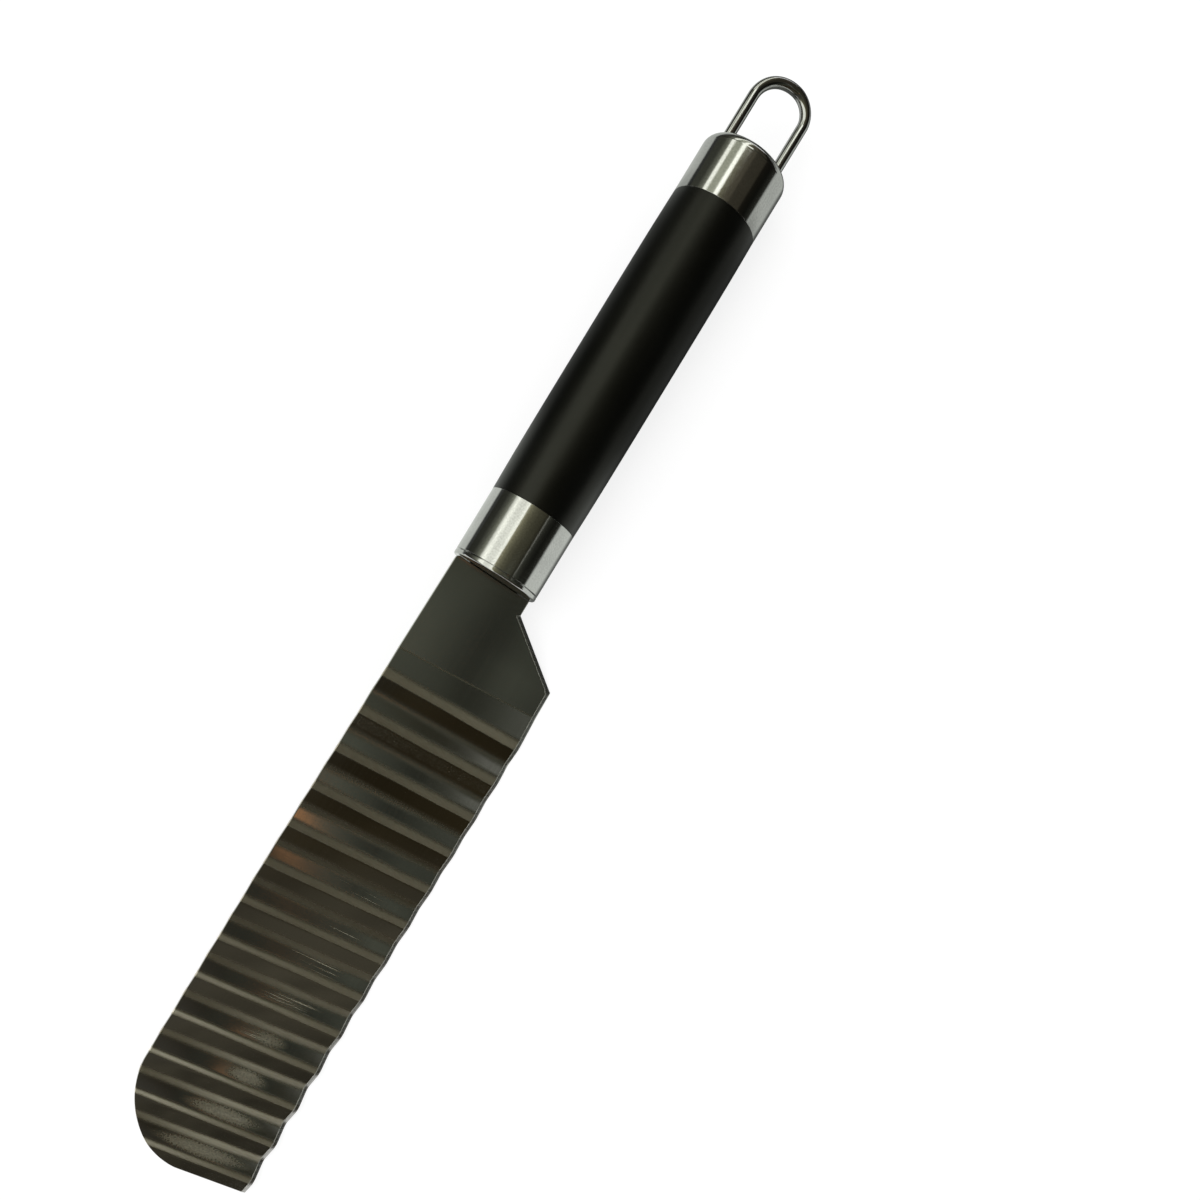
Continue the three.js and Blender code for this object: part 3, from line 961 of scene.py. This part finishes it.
def set_finish(tree, shader, colours, shade, roughness, grain, metallic=1):
    """Sets a colour between two, by a pattern, a roughness between two, by another, and the metal."""
    put(tree, shader.inputs["Base Color"], mix_colour(tree, shade, *colours))
    put(tree, shader.inputs["Roughness"], ramp(tree, grain, *NOISE_RANGE, *roughness))
    shader.inputs["Metallic"].default_value = metallic


def round_place(tree, knife):
    """Coordinates on a turned piece: length, way round at the handle's radius, and radius."""
    x, y, z = add(tree, "ShaderNodeSeparateXYZ", {0: knife}).outputs
    way = calc(tree, "MULTIPLY", calc(tree, "ARCTAN2", y, z), HANDLE_RADIUS)
    radius = calc(tree, "SQRT", square_sum(tree, y, z))
    return add(tree, "ShaderNodeCombineXYZ", {0: x, 1: way, 2: radius}).outputs[0]


def blade_steel():
    """Satin sheet: rubbed crests and troughs, faint grain along the blade, scratches and specks, and
    painted highlights.
    """
    material, tree, shader, knife = start_material("blade_satin_steel")
    x, y, _ = add(tree, "ShaderNodeSeparateXYZ", {0: knife}).outputs
    across = calc(tree, "SUBTRACT", y, BLADE_MIDDLE_Y)
    leaning = line_map(tree, x, DEEPENING_X, BLADE_END, WAVE_LEAN, 0)
    station = calc(tree, "MULTIPLY_ADD", across, leaning, x)
    past_crest = from_crest(tree, knife, station)
    waved = ramp(tree, station, *WAVED_FROM)
    crest = product(tree, crest_bands(tree, station, y, past_crest), waved)
    trough = product(tree, trough_bands(tree, station, past_crest), waved)
    crease_at = calc(tree, "MULTIPLY_ADD", across, CREASE_LEAN, x)
    from_crease = calc(tree, "ABSOLUTE", calc(tree, "SUBTRACT", crease_at, CREASE_X))
    crease = product(tree, ramp(tree, from_crease, *CREASE_LINE), CREASE_WEAR)
    # rubbed spots and scratches, which also get the painted highlight
    scuff_and_highlight = scuffs_and_highlights(tree, knife, x, y, past_crest)
    pressed = press_marks(tree, knife, station)
    dust = specks(tree, knife, 0.2, (0.03, 0.015), 0.86)
    # rubbed wear: crests, troughs, crease, scuffs, press marks and dust
    rubbing_and_highlight = largest(tree, crest, trough, crease, scuff_and_highlight, pressed, dust)
    # painted highlight: near-white steel on the troughs by the tip and edge, on the crest ridges and on
    # the scuffs
    highlight_place = product(tree, ramp(tree, station, *TROUGH_HIGHLIGHT_X), ramp(tree, y, *TROUGH_HIGHLIGHT_Y))
    painted_highlight = product(tree, trough, highlight_place)
    painted_highlight = largest(tree, painted_highlight, ridge_highlights(tree, station, y, past_crest), scuff_and_highlight)
    cloud = noise(tree, knife, (0.05, 0.07, 0.1), 2)
    colour = mix_colour(tree, cloud, *PLAIN_STEEL)
    colour = mix_colour(tree, rubbing_and_highlight, colour, RUBBED_STEEL)
    put(tree, shader.inputs["Base Color"], mix_colour(tree, painted_highlight, colour, PAINTED_HIGHLIGHT_STEEL))
    grain = noise(tree, knife, (0.03, 5, 0.5), 4, 0.6)
    drawn = noise(tree, knife, (5, 0.05, 0.5), 4, 0.65)
    rough = ramp(tree, grain, 0.3, 0.75, 0.1, 0.14)
    rough = calc(tree, "MULTIPLY_ADD", painted_highlight, 0.1, rough)
    put(tree, shader.inputs["Roughness"], calc(tree, "MULTIPLY_ADD", rubbing_and_highlight, 0.33, rough))
    shader.inputs["Metallic"].default_value = 1
    bump(tree, shader, calc(tree, "MULTIPLY", calc(tree, "ADD", grain, drawn), 0.5), 3)
    return material


def from_crest(tree, knife, station):
    """Millimetres past the nearest crest, towards the tip, made a little uneven."""
    turns = calc(tree, "DIVIDE", calc(tree, "SUBTRACT", station, FIRST_CREST), WAVE_PITCH)
    half_turn = calc(tree, "SUBTRACT", calc(tree, "FRACT", calc(tree, "ADD", turns, 0.5)), 0.5)
    past_crest = calc(tree, "MULTIPLY", half_turn, WAVE_PITCH)
    uneven = calc(tree, "SUBTRACT", noise(tree, knife, (0.35, 0.05, 0), 3), 0.5)
    return calc(tree, "MULTIPLY_ADD", uneven, UNEVENNESS, past_crest)


def crest_bands(tree, station, y, past_crest):
    """How rubbed the crests are: the bands end sharply towards the tip and narrow on the way."""
    wide = line_map(tree, station, FIRST_CREST, BAND_NARROW_X, 1, BAND_NARROW)
    place = calc(tree, "DIVIDE", past_crest, wide)
    band = product(tree, ramp(tree, place, *BAND_RISE), ramp(tree, place, *BAND_FALL))
    by_heel = ramp(tree, station, *HEEL_BANDS_X, 1.05, 0.92)
    by_tip = ramp(tree, station, *TIP_BANDS_X, 0, 0.06)
    by_edge = ramp(tree, y, *EDGE_BANDS_Y, 1, 1.25)
    return product(tree, calc(tree, "ADD", by_heel, by_tip), by_edge, band)


def trough_bands(tree, station, past_crest):
    """How rubbed the troughs are: little by the heel, as much as the crests by the tip; the same bands
    carry a painted highlight.
    """
    from_trough = calc(tree, "SUBTRACT", WAVE_PITCH / 2, calc(tree, "ABSOLUTE", past_crest))
    by_tip = line_map(tree, station, FIRST_CREST, TROUGHS_FULL_X, 0.3, 1)
    return product(tree, ramp(tree, from_trough, *TROUGH_BAND), by_tip)


def ridge_highlights(tree, station, y, past_crest):
    """Painted highlight lines on the crests, which grow towards the tip and the spine."""
    line = ramp(tree, calc(tree, "ABSOLUTE", calc(tree, "ADD", past_crest, RIDGE_OFFSET)), *RIDGE_LINE)
    return product(tree, line, ramp(tree, station, *RIDGE_X), ramp(tree, y, *RIDGE_Y))


def scuffs_and_highlights(tree, knife, x, y, past_crest):
    """Rubbed spots near the tip and single scratches before them, on the slopes that face the handle,
    also used as a painted highlight.
    """
    aside = calc(tree, "SUBTRACT", y, SPOT_Y)
    half_length = line_map(tree, x, *SPOT_GROWTH_X, *SPOT_HALF_LENGTHS)
    along_slope = calc(tree, "DIVIDE", aside, half_length)
    up_slope = calc(tree, "DIVIDE", calc(tree, "ADD", past_crest, SLOPE_MIDDLE), SPOT_HALF_WIDTH)
    spot = ramp(tree, square_sum(tree, along_slope, up_slope), 1, 0)
    grains = ramp(tree, noise(tree, knife, (3.5, 2, 0), 3), *NOISE_MIDDLE, 0.45, 1)
    spot = product(tree, spot, ramp(tree, x, *SPOT_X), grains)
    on_slope = product(tree, ramp(tree, past_crest, *SLOPE_RISE), ramp(tree, past_crest, *SLOPE_FALL))
    near_spots = ramp(tree, calc(tree, "ABSOLUTE", aside), *SCRATCH_Y)
    scratch = ramp(tree, noise(tree, knife, (4, 0.04, 0), 1), 0.64, 0.7)
    scratch = product(tree, scratch, on_slope, near_spots, ramp(tree, x, *SCRATCH_X))
    return largest(tree, spot, scratch)


def press_marks(tree, knife, station):
    """Small dull marks that the press left on one slope."""
    end = PRESS_MARK_X + PRESS_MARK_WIDTH
    starts = ramp(tree, station, PRESS_MARK_X, PRESS_MARK_X + PRESS_MARK_FADE)
    ends = ramp(tree, station, end, end - PRESS_MARK_FADE)
    dots = ramp(tree, noise(tree, knife, (3, 2, 1), 2), *NOISE_MIDDLE, 0.12, 0.42)
    return product(tree, starts, ends, dots)


def ground_steel():
    """Ground cutting edge: grinding lines across it."""
    material, tree, shader, knife = start_material("ground_edge_steel")
    lines = noise(tree, knife, (9, 0.4, 0.4), 4, 0.6)
    set_finish(tree, shader, GROUND_STEEL, lines, (0.24, 0.36), lines)
    bump(tree, shader, lines, 10)
    return material


def painted_edge_highlight():
    """A painted highlight line along the inner edge of the grind, where the edge would catch the light.
    """
    material, tree, shader, knife = start_material("painted_edge_highlight_steel")
    # painted highlight, mottled by a noise: rough near-white steel stands in for light caught by the
    # edge
    rubbing_and_highlight = noise(tree, knife, (0.5, 0.5, 0.5), 4, 0.6)
    set_finish(tree, shader, EDGE_HIGHLIGHT_STEEL, rubbing_and_highlight, (0.75, 0.6), rubbing_and_highlight)
    return material


def polished_steel():
    """Turned and buffed tube: fine lines round the handle and along it, and soft mottling."""
    material, tree, shader, knife = start_material("polished_tube_steel")
    place = round_place(tree, knife)
    buffed = noise(tree, place, (9, 0.06, 0.5), 4, 0.65)
    streak = noise(tree, place, (0.05, 3.5, 0.5), 4, 0.6)
    cloud = noise(tree, place, (0.18, 0.15, 0.2), 3)
    fine = noise(tree, place, (2.2, 2.2, 1), 2)
    mottled = calc(tree, "MULTIPLY_ADD", cloud, 0.4, calc(tree, "MULTIPLY", fine, 0.6))
    mottled = ramp(tree, mottled, *NOISE_MIDDLE)
    put(tree, shader.inputs["Base Color"], mix_colour(tree, mottled, *TUBE_STEEL))
    rough = ramp(tree, buffed, 0.3, 0.75, 0.045, 0.095)
    put(tree, shader.inputs["Roughness"], calc(tree, "MULTIPLY_ADD", streak, 0.05, rough))
    shader.inputs["Metallic"].default_value = 1
    bump(tree, shader, calc(tree, "MULTIPLY_ADD", fine, 1.2, calc(tree, "ADD", streak, buffed)), 3)
    return material


def wire_steel():
    """Bright drawn wire: die lines along it."""
    material, tree, shader, knife = start_material("polished_wire_steel")
    lines = noise(tree, knife, (0.12, 5, 5), 3, 0.6)
    cloud = noise(tree, knife, (0.3, 0.3, 0.3), 2)
    set_finish(tree, shader, WIRE_STEEL, cloud, (0.05, 0.1), lines)
    bump(tree, shader, lines, 6)
    return material


def black_grip():
    """Satin black moulding: fine grain, faint rubbing and a little dust."""
    material, tree, shader, knife = start_material("satin_black_grip")
    place = round_place(tree, knife)
    grain = noise(tree, place, (5, 5, 1), 3, 0.6)
    rubbed = noise(tree, place, (0.05, 0.16, 0.2), 3)
    dust = specks(tree, place, 0.3, (0.045, 0.02), 0.9)
    black = mix_colour(tree, rubbed, *GRIP_BLACK)
    put(tree, shader.inputs["Base Color"], mix_colour(tree, dust, black, GRIP_DUST))
    rough = ramp(tree, rubbed, *NOISE_RANGE, 0.30, 0.36)
    put(tree, shader.inputs["Roughness"], calc(tree, "MULTIPLY_ADD", grain, 0.05, rough))
    shader.inputs["Specular IOR Level"].default_value = 0.33
    shader.inputs["Specular Tint"].default_value = GRIP_GLOSS
    bump(tree, shader, grain, 12)
    return material


def core_plastic():
    """Moulded filler inside the handle."""
    material, tree, shader, knife = start_material("moulded_core")
    flow = noise(tree, knife, (0.08, 0.3, 0.3), 3)
    grain = noise(tree, knife, (4, 4, 4), 3)
    set_finish(tree, shader, CORE_GREY, flow, (0.6, 0.75), grain, metallic=0)
    bump(tree, shader, grain, 30)
    return material


def pin_steel():
    """Plain cut wire of the two pins."""
    material, tree, shader, knife = start_material("plain_pin_steel")
    lines = noise(tree, knife, (5, 5, 0.2), 3)
    set_finish(tree, shader, PIN_STEEL, lines, (0.35, 0.55), lines)
    bump(tree, shader, lines, 10)
    return material


# Putting the knife together

def dress(made, node, body, material=None):
    """A finished piece stands for its CAD node and rides on its body."""
    if material:
        made.data.materials.clear()
        made.data.materials.append(material)
    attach(made, body)
    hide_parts(node)


def keep(node, material):
    """A CAD node inside the handle keeps its shape and gets a finished material."""
    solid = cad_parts[node]
    solid.data.materials.clear()
    solid.data.materials.append(material)


def make_knife():
    tube = polished_steel()
    dress(make_blade(), "blade", "handle")
    dress(make_plate(), "ferrule_end_plate", "handle", tube)
    dress(make_ferrule(), "front_ferrule", "handle", tube)
    dress(make_grip(), "grip_sleeve", "handle", black_grip())
    dress(make_cap(), "rear_cap", "handle", tube)
    dress(make_loop(), "hanging_loop", "loop", wire_steel())
    core = core_plastic()
    for node in ("core_upper", "core_lower", "loop_plug"):
        keep(node, core)
    pin = pin_steel()
    for node in ("tang_pin_front", "tang_pin_rear"):
        keep(node, pin)


# Studio

def seen_directly(tree):
    """1 for rays from the camera and for those that a mirror or glass sends on, else 0."""
    rays = add(tree, "ShaderNodeLightPath").outputs
    return largest(tree, rays["Is Camera Ray"], rays["Is Glossy Ray"], rays["Is Transmission Ray"])


def make_world():
    world = bpy.data.worlds.new("studio")
    bpy.context.scene.world = world
    world.use_nodes = True
    tree = world.node_tree
    back = tree.nodes["Background"]
    back.inputs["Color"].default_value = (1, 1, 1, 1)
    strength = ramp(tree, seen_directly(tree), 0, 1, WORLD_LIGHT, WORLD_SEEN)
    put(tree, back.inputs["Strength"], strength)


def stage_piece(name, points, faces):
    """A piece of the studio with a bare material; gives the object, its node tree and its surface."""
    mesh = bpy.data.meshes.new(name)
    mesh.from_pydata(points, [], faces)
    made = bpy.data.objects.new(name, mesh)
    bpy.context.scene.collection.objects.link(made)
    material = bpy.data.materials.new(name)
    material.use_nodes = True
    tree = material.node_tree
    tree.nodes.remove(tree.nodes["Principled BSDF"])
    mesh.materials.append(material)
    return made, tree, tree.nodes["Material Output"].inputs["Surface"]


def level_sheet(name, low, high, z):
    """A level rectangle of the studio between two corners (x, y)."""
    points = [(low[0], low[1], z), (high[0], low[1], z), (high[0], high[1], z), (low[0], high[1], z)]
    return stage_piece(name, points, [(0, 1, 2, 3)])


def only_in_reflections(made):
    made.visible_camera = False
    made.visible_diffuse = False
    made.visible_shadow = False
    made.visible_transmission = False


def shine(tree, surface, colour):
    glow = add(tree, "ShaderNodeEmission", {"Color": colour, "Strength": TENT_STRENGTH})
    put(tree, surface, glow.outputs[0])


def make_floor():
    corner = (FLOOR_HALF, FLOOR_HALF)
    _, tree, surface = level_sheet("white_table", (-FLOOR_HALF, -FLOOR_HALF), corner, 0)
    matt = add(tree, "ShaderNodeBsdfDiffuse", {"Color": FLOOR_GREY})
    strength = product(tree, seen_directly(tree), FLOOR_GLOW)
    glow = add(tree, "ShaderNodeEmission", {"Strength": strength})
    both = add(tree, "ShaderNodeAddShader", {0: matt.outputs[0], 1: glow.outputs[0]})
    put(tree, surface, both.outputs[0])


def tone_ramp(tree, value, tones):
    """Colour at a value from a row of (place, level, tint)."""
    first, last = tones[0][0], tones[-1][0]
    made = add(tree, "ShaderNodeValToRGB", {0: line_map(tree, value, first, last, 0, 1)})
    stops = made.color_ramp.elements
    while len(stops) < len(tones):
        stops.new(1)
    for stop, (place, level, tint) in zip(stops, tones):
        stop.position = (place - first) / (last - first)
        stop.color = [level / TENT_STRENGTH * part for part in tint] + [1]
    return made.outputs[0]


def make_tent():
    """A tent that only shows in reflections: light panels on the spine's side, else dark."""
    points = []
    for x in (-TENT_REACH, TENT_REACH):
        for k in range(TENT_STEPS + 1):
            angle = math.radians(TENT_FROM + (TENT_TO - TENT_FROM) * k / TENT_STEPS)
            points.append((x, TENT_RADIUS * math.sin(angle), TENT_RADIUS * math.cos(angle)))
    row = TENT_STEPS + 1
    faces = [(k, k + 1, k + row + 1, k + row) for k in range(TENT_STEPS)]
    tent, tree, surface = stage_piece("studio_tent", points, faces)
    only_in_reflections(tent)
    place = add(tree, "ShaderNodeTexCoord").outputs["Object"]
    shine(tree, surface, tent_colour(tree, place))


def tent_colour(tree, place):
    """The tent's tones over the cap, the loop, the ferrule and the blade."""
    x, y, z = add(tree, "ShaderNodeSeparateXYZ", {0: place}).outputs
    angle = calc(tree, "DEGREES", calc(tree, "ARCTAN2", y, z))
    dim = product(tree, ramp(tree, x, *DIM_X), ramp(tree, angle, *DIM_ANGLE))
    level = calc(tree, "MULTIPLY_ADD", dim, -DIM_SHARE, 1)
    front = scaled(tree, tone_ramp(tree, angle, FRONT_TONES), level)
    over_blade = product(tree, ramp(tree, x, *BLADE_X), ramp(tree, angle, *BLADE_ANGLE))
    front = mix_colour(tree, over_blade, front, blade_colour(tree, place, x, angle))
    aside = calc(tree, "DIVIDE", calc(tree, "SUBTRACT", x, WARM_X), WARM_HALF_LENGTH)
    around = calc(tree, "DIVIDE", calc(tree, "SUBTRACT", angle, WARM_ANGLE), WARM_HALF_TURN)
    warm = ramp(tree, square_sum(tree, aside, around), 1, 0.1)
    front = mix_colour(tree, warm, front, WARM_PATCH)
    rear = tone_ramp(tree, angle, REAR_TONES)
    colour = mix_colour(tree, ramp(tree, x, *REAR_TO_FRONT_X), rear, front)
    by_loop = product(tree, ramp(tree, x, *LOOP_FRONT_X), ramp(tree, x, *LOOP_REAR_X))
    return mix_colour(tree, by_loop, colour, tone_ramp(tree, angle, LOOP_TONES))


def blade_colour(tree, place, x, angle):
    """The tent's tones over the neck and along the waves, a little patchy, and its glow by the spine."""
    neck = tone_ramp(tree, angle, NECK_TONES)
    waves = tone_ramp(tree, x, BLADE_TONES)
    colour = mix_colour(tree, ramp(tree, x, *NECK_TO_BLADE_X), neck, waves)
    inputs = {"Vector": place, "Scale": PATCH_SCALE, "Detail": 1.0}
    patches = add(tree, "ShaderNodeTexNoise", inputs).outputs[0]
    colour = scaled(tree, colour, ramp(tree, patches, *NOISE_MIDDLE, *PATCH_LEVELS))
    by_spine = product(tree, ramp(tree, angle, *SPINE_GLOW_ANGLE), ramp(tree, x, *SPINE_GLOW_X))
    return mix_colour(tree, by_spine, colour, SPINE_GLOW)


def make_grey_card():
    """A card that only shows in reflections: greys that fan out, with a painted shadow under the handle.
    """
    card, tree, surface = level_sheet("grey_card", CARD_LOW, CARD_HIGH, CARD_HEIGHT)
    only_in_reflections(card)
    place = add(tree, "ShaderNodeTexCoord").outputs["Object"]
    x, y, _ = add(tree, "ShaderNodeSeparateXYZ", {0: place}).outputs
    aside = calc(tree, "ABSOLUTE", calc(tree, "SUBTRACT", y, KNIFE_PLACE.y))
    spread = calc(tree, "MULTIPLY", aside, CARD_FAN)
    shifted = calc(tree, "MULTIPLY_ADD", spread, CARD_FAN_X, x)
    fanned = calc(tree, "DIVIDE", shifted, calc(tree, "ADD", spread, 1))
    # painted shadow under the handle
    shadow_spine_side = ramp(tree, y, *CARD_SHADOW_SPINE_Y, CARD_SHADOW, 1)
    shadow_edge_side = ramp(tree, y, *CARD_SHADOW_EDGE_Y, CARD_SHADOW, 1)
    far_side = ramp(tree, y, *CARD_FAR_Y, CARD_FAR, 1)
    level = product(tree, largest(tree, shadow_spine_side, shadow_edge_side), far_side)
    shine(tree, surface, scaled(tree, tone_ramp(tree, fanned, CARD_TONES), level))


def make_lamp():
    """A soft box by the tent's panels, which shine in reflections: it lights the table and the knife."""
    angle = math.radians(LAMP_TILT)
    lamp = bpy.data.lights.new("soft_box", "AREA")
    lamp.shape = "RECTANGLE"
    lamp.size = LAMP_LENGTH
    lamp.size_y = LAMP_WIDTH
    lamp.energy = LAMP_RADIANCE * math.pi * LAMP_LENGTH * LAMP_WIDTH
    made = bpy.data.objects.new("soft_box", lamp)
    made.location = (0, LAMP_DISTANCE * math.sin(angle), LAMP_DISTANCE * math.cos(angle))
    made.rotation_euler = (-angle, 0, 0)
    made.visible_camera = False
    made.visible_glossy = False
    bpy.context.scene.collection.objects.link(made)


def make_camera():
    data = bpy.data.cameras.new("camera")
    data.lens = CAMERA_LENS
    data.sensor_width = CAMERA_SENSOR
    data.shift_x, data.shift_y = CAMERA_SHIFT
    data.clip_start = CAMERA_NEAR
    made = bpy.data.objects.new("camera", data)
    made.location = KNIFE_PLACE + Vector(CAMERA_OFFSET) * MM
    made.rotation_euler = (0, 0, math.radians(CAMERA_TURN))
    bpy.context.scene.collection.objects.link(made)
    bpy.context.scene.camera = made


bpy.context.scene.view_settings.view_transform = "Standard"
make_camera()
make_world()
make_floor()
make_tent()
make_grey_card()
make_lamp()
make_knife()

bpy.context.view_layer.update()
